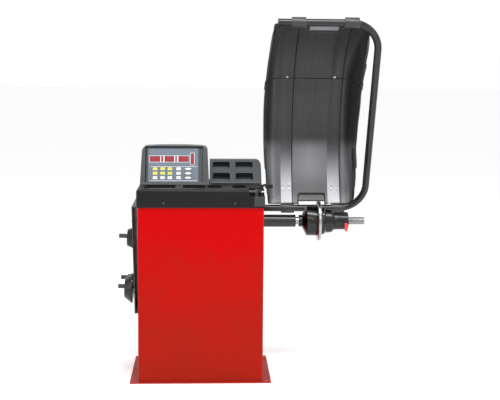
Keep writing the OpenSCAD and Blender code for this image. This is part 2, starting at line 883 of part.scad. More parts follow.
// The hood's wall as one solid of revolution, grown outwards by grow
module hood_drum(grow) {
    r0 = hood_r - hood_t + grow;
    r1 = hood_r + grow;
    c = 30;
    s = flare / 198;
    x0 = hood_x0 - grow;
    x1 = hood_x1 + grow;
    translate([0, arc_v, arc_u]) rotate([90, 0, 90]) rotate_extrude($fn = 128) polygon([
        [r1, x0 + c], [r1 - c, x0 + s * c], [300, x0 - s * (r1 - 300)],
        [300, x0 - s * (r1 - 300) + hood_t], [r0 - c, x0 + hood_t + s * c], [r0, x0 + hood_t + c],
        [r0, x1 - hood_t - c], [r0 - c, x1 - hood_t - s * c], [300, x1 + s * (r1 - 300) - hood_t],
        [300, x1 + s * (r1 - 300)], [r1 - c, x1 - s * c], [r1, x1 - c]]);
}

// Removes what lies in front of the rim, and rounds the corners of the outline
module hood_trim(u0, u1) {
    intersection() {
        children();
        translate([0, 300, 0]) rotate([90, 0, 0]) linear_extrude(500)
            round_rect([300, u0], [790, u1], 50);
        difference() {
            block([250, -20, -100], [850, 320, 1200]);
            translate([0, rim_v, arc_u]) rod_x(rim_r, 200, 900, $fn = 256);
        }
    }
}

// The half space above the joint, or below it with side = -1
module beyond_joint(side, shift) {
    translate([0, joint_v, joint_u + shift]) rotate([-joint_tilt, 0, 0])
        block([200, -400, side > 0 ? 0 : -900], [900, 400, side > 0 ? 900 : 0]);
}

// A pocket pressed back out of the wall, open at the shell's end: outline low to high, grown by grow
module hood_pocket(low, high, grow) {
    intersection() {
        translate([0, arc_v, arc_u]) rod_x(hood_r - hood_t + pocket_back + grow, low[0] - grow, high[0] + grow);
        translate([0, 300, 0]) rotate([90, 0, 0]) linear_extrude(400)
            round_rect(low - [grow, grow], high + [grow, grow], 10);
    }
}

// One shell: the drum's wall with a pocket, cut to clear the bar at its end
module hood_shell(low, high, bar_u) {
    difference() {
        union() {
            hood_trim(hood_u0, hood_u1) hood_drum(0);
            difference() {
                intersection() {
                    hood_pocket(low, high, hood_t);
                    block([300, 0, hood_u0], [790, 300, hood_u1]);
                }
                translate([0, arc_v, arc_u]) rod_x(hood_r - hood_t, 300, 790);
            }
        }
        hood_pocket(low, high, 0);
        translate([0, 0, bar_u]) rod_x(tube_r + 0.5, 200, 900);
        for (x = bar_u > 0 ? clamp_top_x : clamp_low_x)
            translate([0, 0, bar_u]) rod_x(tube_r + clamp_t + 0.3, x - clamp_w / 2 - 0.3, x + clamp_w / 2 + 0.3);
    }
}

module hood_upper() {
    color("#2a2c2e") on_hood() difference() {
        intersection() {
            hood_shell([512, 912], [655, 1040], hood_len);
            beyond_joint(1, 0.2);
        }
        hood_screw_holes(6.1);
    }
}

module hood_lower() {
    color("#26282a") on_hood() difference() {
        union() {
            intersection() {
                hood_shell([495, -40], [636, 53], 0);
                beyond_joint(-1, 0);
            }
            // lap behind the upper shell
            intersection() {
                hood_trim(hood_u0, hood_u1) hood_drum(hood_t + 0.2);
                beyond_joint(-1, 26);
                beyond_joint(1, -24);
            }
            intersection() {
                hood_trim(hood_u0, hood_u1) hood_drum(hood_t / 2);
                beyond_joint(-1, 0);
                beyond_joint(1, -24);
            }
        }
        hood_screw_holes(6.1);
    }
}

// Hood screws: where along X, and at which angle round the drum's axis
joint_screws = [for (x = [431, 670]) [x, 10.9]];
clamp_screws = [for (s = [-1, 1]) for (x = s < 0 ? [418, 451, 669, 698] : [430, 463, 672, 701])
    for (a = [45.3, 47.7]) [x, s * a]];

// Puts its children on the drum's inner face at p = [x, angle], +z pointing at the drum's axis
module on_drum(p) {
    translate([p[0], arc_v, arc_u]) rotate([p[1], 0, 0]) translate([0, hood_r - hood_t, 0])
        rotate([90, 0, 0]) children();
}

module hood_screw_holes(d) {
    for (p = concat(joint_screws, clamp_screws))
        on_drum(p) translate([0, 0, -20]) cylinder(d = d, h = 24);
}

module hood_screws() {
    color("#a4a7aa") on_hood() {
        for (p = joint_screws)
            on_drum(p) translate([0, 0, 0.1]) pan_screw(6, 14);
        for (p = clamp_screws)
            on_drum(p) translate([0, 0, 0.1]) pan_screw(5, 14);
    }
}

// A clamp round the tube, with a strap that lies on the back of the shell
module clamp(x) {
    left = x - clamp_w / 2;
    right = x + clamp_w / 2;
    rod_x(tube_r + clamp_t, left, right);
    intersection() {
        translate([0, arc_v, arc_u]) difference() {
            rod_x(hood_r + strap_t, left, right, $fn = 128);
            rod_x(hood_r + 0.1, left - 1, right + 1, $fn = 128);
        }
        block([left, 0, 0], [right, 300, strap_end]);
    }
}

module hood_clamps() {
    color("#303234") on_hood() difference() {
        union() {
            for (x = clamp_low_x)
                clamp(x);
            for (x = clamp_top_x)
                translate([0, 0, hood_len]) mirror([0, 0, 1]) clamp(x);
        }
        tube_shape();
        hood_screw_holes(5.1);
    }
}

module pivot_blocks() {
    color("#26282a") difference() {
        for (x = [-80, 200]) {
            block([x - 12, cab_y, pivot_z - 30], [x + 12, pivot_y, pivot_z + 30]);
            translate([0, pivot_y, pivot_z]) rod_x(30, x - 18, x + 18);
            block([x - 40, cab_y, pivot_z - 46], [x + 40, cab_y + 8, pivot_z + 46]);
        }
        translate([0, pivot_y, pivot_z]) rod_x(tube_r + run, -200, 300);
    }
}

// ---- accessory side ----

// Pegs as [y, z, x of the panel's face, x of the tip]
pegs = [[5, 657, -319, -391], [-100, 434, -316, -389], [110, 434, -316, -392]];

// Puts its children on peg n: +z points out along the peg
module on_peg(n) {
    translate([pegs[n][2], pegs[n][0], pegs[n][1]]) rotate([0, -90 + peg_rise, 0]) children();
}

module accessory_panel() {
    color("#1d1f20") {
        translate([0, 150, 0]) rotate([90, 0, 0]) linear_extrude(310) polygon([
            [-cab_x, 822], [-320, 822], [-309, 318], [-cab_x, 318], [-cab_x, 324],
            [-304, 324], [-315, 816], [-cab_x, 816]]);
        for (n = [0:2])
            on_peg(n) translate([0, 0, -6]) cylinder(r = peg_r, h = pegs[n][2] - pegs[n][3] + 6);
        for (y = [-60, 60])
            translate([-316, y, 741]) rotate([0, -90, 0]) cylinder(r = 6, h = 10, $fn = 24);
    }
}

// A centring cone hanging on a peg: r0 at the panel, r1 at its outer end
module cone(n, r0, r1, length) {
    on_peg(n) translate([-cone_drop, 0, 1.5]) rotate_extrude($fn = 96) polygon([
        [shaft_r + run, 0], [r0 - 2, 0], [r0, 2], [r0, 6], [r1, length - 2], [r1 - 2, length],
        [shaft_r + run, length]]);
}

module cone_medium() {
    color("#3a3d40") cone(0, 49, 40, 31);
}

module cone_large() {
    color("#3a3d40") cone(1, 71, 46, 40);
}

module cone_small() {
    color("#3a3d40") cone(2, 32, 23, 42);
}

// ---- assembly ----

base_plate();
cabinet();
rear_cover();
cabinet_screws();
spindle_bracket();
spindle_housing();
bearings();
main_shaft();
hub_flange();
face_disc();
centring_spring();
pressure_cup();
cup_ring();
quick_nut();
release_lever();
driven_pulley();
drive_belt();
motor();
motor_pulley();
encoder_disc();
encoder_sensor();
force_sensors();
main_board();
mains_inlet();
switch_body();
switch_rocker();
top_tray();
head_housing();
head_back();
panel_overlay();
display_windows();
weight_pockets();
gauge_guide();
gauge_rod();
gauge_arm();
hood_tube();
hood_upper();
hood_lower();
hood_screws();
hood_clamps();
pivot_blocks();
accessory_panel();
cone_small();
cone_medium();
cone_large();
key_1();
key_2();
key_3();
key_4();
key_5();
key_6();
key_7();
key_8();
key_9();
key_10();
key_11();
key_12();
oval_key_1();
oval_key_2();
oval_key_3();
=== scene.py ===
import json
import math
import bmesh
import bpy
from mathutils import Matrix, Vector


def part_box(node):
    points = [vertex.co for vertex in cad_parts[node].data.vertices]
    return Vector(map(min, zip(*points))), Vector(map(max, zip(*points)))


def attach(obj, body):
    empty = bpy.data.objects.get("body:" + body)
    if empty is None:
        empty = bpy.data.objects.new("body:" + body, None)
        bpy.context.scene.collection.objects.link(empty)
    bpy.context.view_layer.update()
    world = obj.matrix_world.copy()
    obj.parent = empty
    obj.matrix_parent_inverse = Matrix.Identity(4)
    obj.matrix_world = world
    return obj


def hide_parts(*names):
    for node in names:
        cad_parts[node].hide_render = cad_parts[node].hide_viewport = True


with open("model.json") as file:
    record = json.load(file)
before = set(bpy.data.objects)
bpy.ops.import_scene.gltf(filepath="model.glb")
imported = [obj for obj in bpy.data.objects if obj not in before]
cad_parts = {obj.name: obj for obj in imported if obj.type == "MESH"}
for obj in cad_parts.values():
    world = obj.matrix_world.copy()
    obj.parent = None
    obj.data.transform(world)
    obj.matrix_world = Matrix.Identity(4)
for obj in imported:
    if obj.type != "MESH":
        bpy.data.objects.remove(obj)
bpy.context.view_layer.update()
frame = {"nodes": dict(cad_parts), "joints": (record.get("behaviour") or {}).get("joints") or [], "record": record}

MM = 0.001
SCENE = bpy.context.scene
NODES = frame["nodes"]
RECORD = frame["record"]
SLOT_OF = {p["node"]: p["material_slot"] for p in RECORD["subparts"]}
BODY_OF = {n: b for b, ns in RECORD["behaviour"]["bodies"].items() for n in ns}
JOINT = {j["name"]: j for j in frame["joints"]}


# ---- materials ----

def shader(name):
    """A new material with its nodes, and a function that makes and sets a node."""
    material = bpy.data.materials.new(name)
    material.use_nodes = True
    tree = material.node_tree
    bsdf = tree.nodes["Principled BSDF"]

    def add(kind, inputs=None, **settings):
        node = tree.nodes.new(kind)
        for key, value in settings.items():
            setattr(node, key, value)
        for key, value in (inputs or {}).items():
            if isinstance(value, bpy.types.NodeSocket):
                tree.links.new(value, node.inputs[key])
            else:
                node.inputs[key].default_value = value
        return node

    def link(value, key):
        tree.links.new(value, bsdf.inputs[key])

    return material, bsdf, add, link


def rgba(colour, gain=1.0):
    return (*[min(1.0, c * gain) for c in colour], 1.0)


def place(add, scale=(1, 1, 1)):
    """Object coordinates in metres, scaled along each axis."""
    where = add("ShaderNodeTexCoord")
    return add("ShaderNodeMapping", {"Vector": where.outputs["Object"], "Scale": scale}).outputs["Vector"]


def noise(add, vector, scale, detail=3.0, rough=0.55):
    inputs = {"Vector": vector, "Scale": scale, "Detail": detail, "Roughness": rough}
    return add("ShaderNodeTexNoise", inputs).outputs["Fac"]


def span(add, value, low, high, start=0.3, end=0.7):
    """Maps value from start..end to low..high."""
    inputs = {"Value": value, "From Min": start, "From Max": end, "To Min": low, "To Max": high}
    return add("ShaderNodeMapRange", inputs).outputs["Result"]


def blend_colour(add, factor, first, second):
    inputs = {0: factor, 6: first, 7: second}
    return add("ShaderNodeMix", inputs, data_type="RGBA").outputs[2]


def edges(add, reach=0.0025):
    """Is 1 on the object's edges and 0 elsewhere: there a rounded normal leaves the true one."""
    rounded = add("ShaderNodeBevel", {"Radius": reach}, samples=4).outputs["Normal"]
    true = add("ShaderNodeNewGeometry").outputs["Normal"]
    along = add("ShaderNodeVectorMath", {0: rounded, 1: true}, operation="DOT_PRODUCT").outputs["Value"]
    return span(add, along, 0.0, 1.0, 1.0, 0.9)


def finish(name, colour, rough, metallic=0.0, mottle=0.12, grain=700.0, bump=0.15,
           wear=None, coat=0.0, specular=0.5):
    """A surface with large soft mottling, a fine grain, uneven gloss and lighter worn edges."""
    material, bsdf, add, link = shader(name)
    where = place(add)
    large = noise(add, place(add), 9.0, 4.0)
    fine = noise(add, where, grain, 2.0)
    dull, bright = rgba(colour, 1.0 - mottle), rgba(colour, 1.0 + mottle)
    shade = blend_colour(add, span(add, large, 0.0, 1.0), dull, bright)
    speck = blend_colour(add, span(add, fine, 0.0, 0.35), shade, rgba(colour, 1.0 + 2.2 * mottle))
    if wear:
        speck = blend_colour(add, span(add, edges(add), 0.0, 0.5, 0.0, 1.0), speck, rgba(wear))
    link(speck, "Base Color")
    link(span(add, noise(add, place(add), 45.0, 5.0), rough * 0.82, min(1.0, rough * 1.2)), "Roughness")
    bsdf.inputs["Metallic"].default_value = metallic
    bsdf.inputs["Coat Weight"].default_value = coat
    bsdf.inputs["Coat Roughness"].default_value = 0.1
    bsdf.inputs["Specular IOR Level"].default_value = specular
    relief = add("ShaderNodeBump", {"Height": fine, "Strength": bump, "Distance": 0.0004})
    link(relief.outputs["Normal"], "Normal")
    return material


def red_paint():
    """Powder coat with painted light and shade: bright at the top of the cabinet, duller and warmer near the
    floor.
    """
    material, bsdf, add, link = shader("red_paint")
    where = place(add)
    # Painted light and shade: the red is lit high on the cabinet and shaded, duller and warmer, near the floor,
    # with a cloudy border.
    height = add("ShaderNodeSeparateXYZ", {"Vector": where}).outputs["Z"]
    cloud = noise(add, where, 5.0, 4.0)
    painted_light_level = add("ShaderNodeMath", {0: height, 1: span(add, cloud, -0.12, 0.12)}, operation="ADD").outputs[0]
    high, low = (0.41, 0.0, 0.0004, 1.0), (0.27, 0.010, 0.003, 1.0)
    paint = blend_colour(add, span(add, painted_light_level, 0.0, 1.0, 0.05, 0.72), low, high)
    peel = noise(add, where, 420.0, 2.0)
    worn = blend_colour(add, span(add, edges(add), 0.0, 0.55, 0.0, 1.0), paint, (0.80, 0.10, 0.10, 1.0))
    link(worn, "Base Color")
    link(span(add, noise(add, where, 30.0, 4.0), 0.30, 0.42), "Roughness")
    bsdf.inputs["Specular IOR Level"].default_value = 0.06
    relief = add("ShaderNodeBump", {"Height": peel, "Strength": 0.1, "Distance": 0.0004})
    link(relief.outputs["Normal"], "Normal")
    return material


def hood_plastic(name, with_painted_light_shade):
    """Vacuum-formed sheet with vertical draw streaks. One with painted light and shade follows the mesh's
    attribute of painted highlights, reflections and shade.
    """
    material, bsdf, add, link = shader(name)
    streak = noise(add, place(add, (90.0, 3.0, 1.2)), 1.0, 4.0)
    fine = noise(add, place(add), 650.0, 2.0)
    deep, light = (0.030, 0.031, 0.031, 1.0), (0.044, 0.045, 0.046, 1.0)
    dark = blend_colour(add, span(add, streak, 0.0, 1.0), deep, light)
    painted_light_shade = add("ShaderNodeAttribute", attribute_name="painted_light_shade").outputs["Fac"]
    # Painted highlights and reflections: above 0 the attribute lightens the sheet towards a pale blue-grey.
    lit = blend_colour(add, painted_light_shade, dark, (0.62, 0.635, 0.68, 1.0)) if with_painted_light_shade else dark
    if with_painted_light_shade:
        # Painted shade: below 0 the attribute darkens the sheet nearly to black.
        lit = blend_colour(add, span(add, painted_light_shade, 0.0, 1.0, 0.0, -1.0), lit, (0.004, 0.004, 0.004, 1.0))
    link(lit, "Base Color")
    link(span(add, noise(add, place(add), 20.0, 5.0), 0.30, 0.40), "Roughness")
    bsdf.inputs["Specular IOR Level"].default_value = 0.4
    relief = add("ShaderNodeBump", {"Height": fine, "Strength": 0.08, "Distance": 0.0004})
    link(relief.outputs["Normal"], "Normal")
    return material


def turned_metal(name, colour, rough, lines=2600.0):
    """Metal turned about X: fine rings, each a little brighter or duller than the next."""
    material, bsdf, add, link = shader(name)
    ring = noise(add, place(add, (lines, 6.0, 6.0)), 1.0, 2.0)
    cloud = noise(add, place(add), 26.0, 4.0)
    tone = blend_colour(add, span(add, ring, 0.0, 1.0), rgba(colour, 0.82), rgba(colour, 1.16))
    worn = blend_colour(add, span(add, edges(add), 0.0, 0.5, 0.0, 1.0), tone, rgba(colour, 1.9))
    link(worn, "Base Color")
    link(span(add, cloud, rough * 0.8, rough * 1.3), "Roughness")
    bsdf.inputs["Metallic"].default_value = 1.0
    relief = add("ShaderNodeBump", {"Height": ring, "Strength": 0.03, "Distance": 0.0003})
    link(relief.outputs["Normal"], "Normal")
    return material


def circuit_board():
    material, bsdf, add, link = shader("board")
    where = place(add)
    tracks = add("ShaderNodeTexBrick", {"Vector": where, "Scale": 160.0, "Mortar Size": 0.03,
                                        "Color1": (0.01, 0.10, 0.035, 1), "Color2": (0.014, 0.14, 0.05, 1),
                                        "Mortar": (0.03, 0.25, 0.08, 1)})
    pads = span(add, noise(add, where, 380.0, 0.0), 0.0, 1.0, 0.64, 0.66)
    link(blend_colour(add, pads, tracks.outputs["Color"], (0.55, 0.5, 0.38, 1.0)), "Base Color")
    bsdf.inputs["Roughness"].default_value = 0.35
    return material


STEEL = (0.36, 0.365, 0.375)
MATERIALS = {
    "red_paint": red_paint(),
    "hood_plastic": hood_plastic("hood_plastic", True),
    "board": circuit_board(),
    "bright_steel": turned_metal("bright_steel", STEEL, 0.22),
    "blackened_steel": turned_metal("blackened_steel", (0.036, 0.037, 0.037), 0.22),
    "black_plastic": finish("black_plastic", (0.006, 0.006, 0.0065), 0.42, grain=900.0, bump=0.15,
                            wear=(0.10, 0.105, 0.11), specular=0.18),
    "head_plastic": finish("head_plastic", (0.028, 0.031, 0.034), 0.40, grain=800.0, bump=0.25,
                           wear=(0.16, 0.165, 0.175), specular=0.35),
    "overlay": finish("overlay", (0.085, 0.110, 0.145), 0.38, mottle=0.07, grain=1300.0, bump=0.08),
    "window_red": finish("window_red", (0.23, 0.010, 0.02), 0.3, mottle=0.1, grain=200.0, bump=0.02,
                         specular=0.3),
    "key_yellow": finish("key_yellow", (0.56, 0.55, 0.075), 0.38, mottle=0.06, grain=900.0, bump=0.1),
    "key_white": finish("key_white", (0.64, 0.65, 0.66), 0.38, mottle=0.05, grain=900.0, bump=0.1),
    "tube_paint": finish("tube_paint", (0.006, 0.006, 0.0055), 0.22, mottle=0.15, grain=500.0, bump=0.012,
                         coat=0.12, specular=0.4),
    "bracket_paint": finish("bracket_paint", (0.017, 0.018, 0.019), 0.38, grain=600.0, bump=0.2,
                            wear=(0.20, 0.205, 0.21)),
    "zinc": finish("zinc", (0.50, 0.505, 0.50), 0.28, metallic=1.0, grain=350.0, bump=0.1),
    "rubber": finish("rubber", (0.016, 0.016, 0.016), 0.75, grain=1100.0, bump=0.3),
    "alloy": finish("alloy", (0.52, 0.53, 0.55), 0.38, metallic=1.0, grain=300.0, bump=0.2),
    "motor_paint": finish("motor_paint", (0.11, 0.12, 0.13), 0.5, grain=260.0, bump=0.5),
    "brass": finish("brass", (0.58, 0.42, 0.14), 0.3, metallic=1.0, grain=400.0, bump=0.1),
    "lever_red": finish("lever_red", (0.50, 0.030, 0.014), 0.3, mottle=0.08, grain=500.0, bump=0.1, coat=0.3),
    "steel_sheet": finish("steel_sheet", (0.022, 0.023, 0.025), 0.42, grain=500.0, bump=0.25,
                          wear=(0.12, 0.12, 0.125)),
}

# Finishes of single pieces, as variants of their slots
DARK_ZINC = finish("dark_zinc", (0.10, 0.10, 0.105), 0.35, metallic=1.0, grain=350.0, bump=0.1)
HOOD_BACK = hood_plastic("hood_back", False)
THREAD_STEEL = turned_metal("shaft_steel", (0.30, 0.305, 0.315), 0.24)
SEGMENT_DARK = finish("segments", (0.20, 0.006, 0.014), 0.3, mottle=0.1, grain=300.0, bump=0.02)
PRINT_PALE = finish("printed_lines", (0.60, 0.62, 0.65), 0.5, mottle=0.05, grain=900.0, bump=0.05)
PRINT_DARK = finish("printed_marks", (0.03, 0.032, 0.036), 0.5, mottle=0.1, grain=900.0, bump=0.05)


# ---- mesh tools ----

WELD_DISTANCE = 2e-6


def piece(name, verts, faces, slot, body, replaces=(), sharp=32.0):
    """A new piece from points in millimetres, in the row frame, that rides on a body."""
    mesh = bpy.data.meshes.new(name)
    mesh.from_pydata([tuple(c * MM for c in v) for v in verts], [], faces)
    bm = bmesh.new()
    bm.from_mesh(mesh)
    bmesh.ops.remove_doubles(bm, verts=bm.verts, dist=WELD_DISTANCE)
    bmesh.ops.dissolve_degenerate(bm, edges=bm.edges, dist=1e-6)
    bmesh.ops.recalc_face_normals(bm, faces=bm.faces)
    bm.to_mesh(mesh)
    bm.free()
    mesh.shade_smooth()
    mesh.set_sharp_from_angle(angle=math.radians(sharp))
    made = bpy.data.objects.new(name, mesh)
    SCENE.collection.objects.link(made)
    made.data.materials.append(MATERIALS[slot])
    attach(made, body)
    if replaces:
        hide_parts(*replaces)
    return made


def loft(rings):
    """Points and faces of a skin over closed rings that have equally many points."""
    count = len(rings[0])
    verts = [p for ring in rings for p in ring]
    faces = []
    for i in range(len(rings) - 1):
        for k in range(count):
            n = (k + 1) % count
            faces.append((i * count + k, i * count + n, (i + 1) * count + n, (i + 1) * count + k))
    return verts, faces


def ring_x(x, radius, count):
    """A circle of points at x round the spindle's axis."""
    turns = [2 * math.pi * k / count for k in range(count)]
    return [(x, AXIS[0] + radius * math.cos(a), AXIS[1] + radius * math.sin(a)) for a in turns]


def soften(obj, width):
    """Rounds an object's hard edges, and keeps its flat faces flat in shading."""
    weld = obj.modifiers.new("weld", "WELD")
    weld.merge_threshold = WELD_DISTANCE
    flat = obj.modifiers.new("flat", "DECIMATE")
    flat.decimate_type = "DISSOLVE"
    flat.angle_limit = math.radians(0.4)
    bevel = obj.modifiers.new("round", "BEVEL")
    bevel.width = width
    bevel.segments = 3
    bevel.limit_method = "ANGLE"
    bevel.angle_limit = math.radians(32.0)
    bevel.harden_normals = True


def keep_inside(obj):
    """Drops the rounding of an object whose rounded mesh leaves its own box."""
    depsgraph = bpy.context.evaluated_depsgraph_get()
    shape = obj.evaluated_get(depsgraph).to_mesh()
    lows = [min(v.co[i] for v in shape.vertices) for i in range(3)]
    highs = [max(v.co[i] for v in shape.vertices) for i in range(3)]
    own = [[v.co[i] for v in obj.data.vertices] for i in range(3)]
    stray = max(max(min(own[i]) - lows[i], highs[i] - max(own[i])) for i in range(3))
    obj.evaluated_get(depsgraph).to_mesh_clear()
    if stray > 0.4 * MM:
        obj.modifiers.remove(obj.modifiers["round"])


# ---- driving sizes, from the frame ----

AXIS = (0.0, JOINT["spindle_spin"]["pos_m"][2] / MM)
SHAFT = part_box("main_shaft")


# ---- carried-over nodes: their finish and edges ----

EDGE_WIDTH = {"top_tray": 2.2, "weight_pockets": 2.2, "cabinet": 0.6, "hood_clamps": 1.6, "pivot_blocks": 2.0,
              "gauge_guide": 1.6, "gauge_arm": 2.0, "accessory_panel": 0.9, "release_lever": 1.4,
              "quick_nut": 1.0, "base_plate": 0.8, "mains_inlet": 0.8, "switch_body": 0.8,
              "switch_rocker": 1.2, "motor": 1.0, "cone_small": 0.8, "cone_medium": 0.8, "cone_large": 0.8}
SHARP_ENOUGH = {"centring_spring", "bearings", "main_board", "drive_belt", "encoder_disc", "panel_overlay"}

for node, shape in NODES.items():
    shape.data.materials.clear()
    shape.data.materials.append(MATERIALS[SLOT_OF[node]])
    for face in shape.data.polygons:
        face.material_index = 0
    if node not in SHARP_ENOUGH:
        soften(shape, EDGE_WIDTH.get(node, 0.5) * MM)
        keep_inside(shape)

# The cabinet's screws are blackened, the hood's are plain
NODES["cabinet_screws"].data.materials[0] = DARK_ZINC


# ---- hood ----

# The hood's frame tilts forward by LEAN at the pivot: u runs up the arm, v to its rear. The wall is a
# drum about (DRUM_V, DRUM_U), the rim a flatter arc. Sizes are in millimetres.
LEAN = math.radians(23.5)
PIVOT = [c / MM for c in JOINT["hood_swing"]["pos_m"]]
DRUM_V, DRUM_U, DRUM_R = -317.0, 502.0, 594.0
SHEET_T = 4.0
RIM_R, RIM_D = 1704.0, 1312.0
SHELL_X = (340.0, 748.0)
FLARE = 34.0 / 198.0
LOW_U, HIGH_U = 15.5, 988.5
OUTLINE_X = (300.0, 800.0)
OUTLINE_R = 50.0
WALL_CORNER = {-1: 38.0, 1: 24.0}
SPREAD_HIGH, SPREAD_LOW = 34.0, 28.0
SEAM_OFFSET = 235.85
LAP_HALF = 24.0
JOINT_TILT = math.radians(14.0)
CHANNELS = ((405.0, 466.0), (645.0, 712.0))
CHANNEL_DEPTH = 3.4
POCKETS = {"lower": ((495.0, -40.0), (636.0, 53.0)), "upper": ((512.0, 912.0), (655.0, 1040.0))}
POCKET_DEPTH = 14.0
POCKET_R = 10.0
SLOT_END_U = 19.5


def from_hood(x, v, u):
    """A point of the hood's frame in the row frame, in millimetres."""
    return (x, PIVOT[1] - u * math.sin(LEAN) + v * math.cos(LEAN),
            PIVOT[2] + u * math.cos(LEAN) + v * math.sin(LEAN))


def smooth(t):
    """A soft step from 0 at t = 0 to 1 at t = 1."""
    t = min(1.0, max(0.0, t))
    return t * t * (3 - 2 * t)


def channel_depth(x):
    """How far the back wall stands out at x: two shallow channels, steep on their right."""
    depth = 0.0
    for left, right in CHANNELS:
        depth = max(depth, CHANNEL_DEPTH * smooth((x - left) / 28.0) * smooth((right - x) / 2.0))
    return depth


def pocket_depth(part, x, u):
    """How far a shell's pocket stands back at a place of its wall."""
    if part not in POCKETS:
        return 0.0
    (x0, u0), (x1, u1) = POCKETS[part]
    dx, du = min(x - x0, x1 - x), min(u - u0, u1 - u)
    if min(dx, du) <= 0:
        return 0.0
    if dx < POCKET_R and du < POCKET_R:
        near = POCKET_R - math.hypot(POCKET_R - dx, POCKET_R - du)
    else:
        near = min(dx, du)
    return POCKET_DEPTH * smooth(near / 3.5)


def section(angle, grow=0.0):
    """The shell's inner surface at one angle round the drum, as (x, radius), from rim to rim."""
    inner = DRUM_R - SHEET_T + grow
    rim = -RIM_D * math.cos(angle) + math.sqrt(RIM_R ** 2 - (RIM_D * math.sin(angle)) ** 2)
    side = []
    wave = 1.6 * math.sin(angle * 9.0)
    tilt = math.degrees(angle)
    spread = SPREAD_HIGH * smooth((tilt - 12.0) / 36.0) + SPREAD_LOW * smooth((-24.0 - tilt) / 24.0)
    wall_steps, steps = 13, 9
    for s, x_wall in ((-1, SHELL_X[0] + SHEET_T - grow), (1, SHELL_X[1] - SHEET_T + grow)):
        wall = []
        corner = min(WALL_CORNER[s], inner - rim - 9.0)
        x_wall += spread if s > 0 else 0.0
        for k in range(wall_steps + 1):
            r = rim + 1.0 + (inner - corner - rim) * k / wall_steps
            out = FLARE * (DRUM_R - r) + (wave if s > 0 else 0.3 * wave) * (1 - k / wall_steps)
            wall.append((x_wall + s * out, r))
        turn = []
        for k in range(1, steps):
            a = math.radians(90.0 * k / steps)
            base = x_wall + s * FLARE * corner * (1 - k / steps)
            turn.append((base - s * corner * (1 - math.cos(a)), inner - corner + corner * math.sin(a)))
        side.append(wall + turn)
    left, right = side[0], side[1][::-1]
    start, end = left[-1][0], right[0][0]
    even = [start + (end - start) * k / 40 for k in range(1, 40)]
    near_channels = [edge + d for c in CHANNELS for edge in c for d in (-6, -4, -3, -2, -1, 0, 1, 2, 3, 4, 6)]
    near_pockets = [edge + d for (x0, _), (x1, _) in POCKETS.values() for d0 in (0, 1, 2, 3, 5, 8, 11)
                    for edge, d in ((x0, d0), (x1, -d0))]
    stops = sorted(set(even + near_channels + near_pockets))
    return left + [(x, inner + channel_depth(x)) for x in stops if start + 4 < x < end - 4] + right


def shell_angles(x, radius, part):
    """First and last angle of one of the two shells at that place of its outline."""
    half = (OUTLINE_X[1] - OUTLINE_X[0]) / 2
    over = min(max(0.0, abs(x - (OUTLINE_X[0] + half)) - (half - OUTLINE_R)), OUTLINE_R - 0.5)
    cut = OUTLINE_R - math.sqrt(OUTLINE_R ** 2 - over ** 2)
    low = math.asin(max(-1.0, (LOW_U + cut - DRUM_U) / radius))
    high = math.asin(min(1.0, (HIGH_U - cut - DRUM_U) / radius))
    seam = math.asin(min(1.0, SEAM_OFFSET / radius)) - JOINT_TILT
    if part == "lap":
        return seam - LAP_HALF / radius, seam + LAP_HALF / radius
    return (low, seam) if part == "lower" else (seam + 0.9 / radius, high)


def painted_light_shade_at(x, angle):
    """How much painted highlight and reflection the shell's sheet gets, from 0 to 1, or below 0 for the painted
    shade in the grooves.
    """
    tilt = math.degrees(angle)
    # Painted shade: a dark line on the steep right wall of each channel.
    if any(right - 1.2 < x < right + 3.2 for _, right in CHANNELS):
        return -0.9
    in_strip = any(left + 3 < x < right for left, right in CHANNELS)
    rise = smooth((-20.0 - tilt) / 14.0)
    # Painted reflection: the channels' strips grow lighter towards the bottom of the shell.
    if in_strip:
        return 0.20 * rise + 0.50 * smooth((-27.0 - tilt) / 20.0)
    # Painted reflection in a band low across the middle, and painted highlights on the two rounded corners.
    band = smooth((-21.0 - tilt) / 7.0) * smooth((tilt + 52.0) / 22.0)
    middle = max(0.0, 1.0 - abs(x - 560.0) / 140.0)
    glint = max(smooth(1.0 - abs(x - 368.0) / 18.0), 0.8 * smooth(1.0 - abs(x - 730.0) / 14.0))
    return 0.16 * band + 0.20 * band * middle + 0.03 * rise + 0.16 * glint * rise


def rows(part, slices):
    """Where the rows lie between a shell's ends, from 0 to 1, with more of them at its pocket's edge."""
    even = [i / slices for i in range(slices + 1)]
    if part not in POCKETS:
        return even
    inner = DRUM_R - SHEET_T
    edge_u = POCKETS[part][1][1] if part == "lower" else POCKETS[part][0][1]
    inward = -1 if part == "lower" else 1
    first, last = shell_angles(560.0, inner, part)
    extra = []
    for d in (0, 1, 2, 3, 5, 7, 9, 11):
        edge = math.asin((edge_u + inward * d - DRUM_U) / inner)
        extra.append((edge - first) / (last - first))
    return sorted(even + [t for t in extra if 0.001 < t < 0.999])


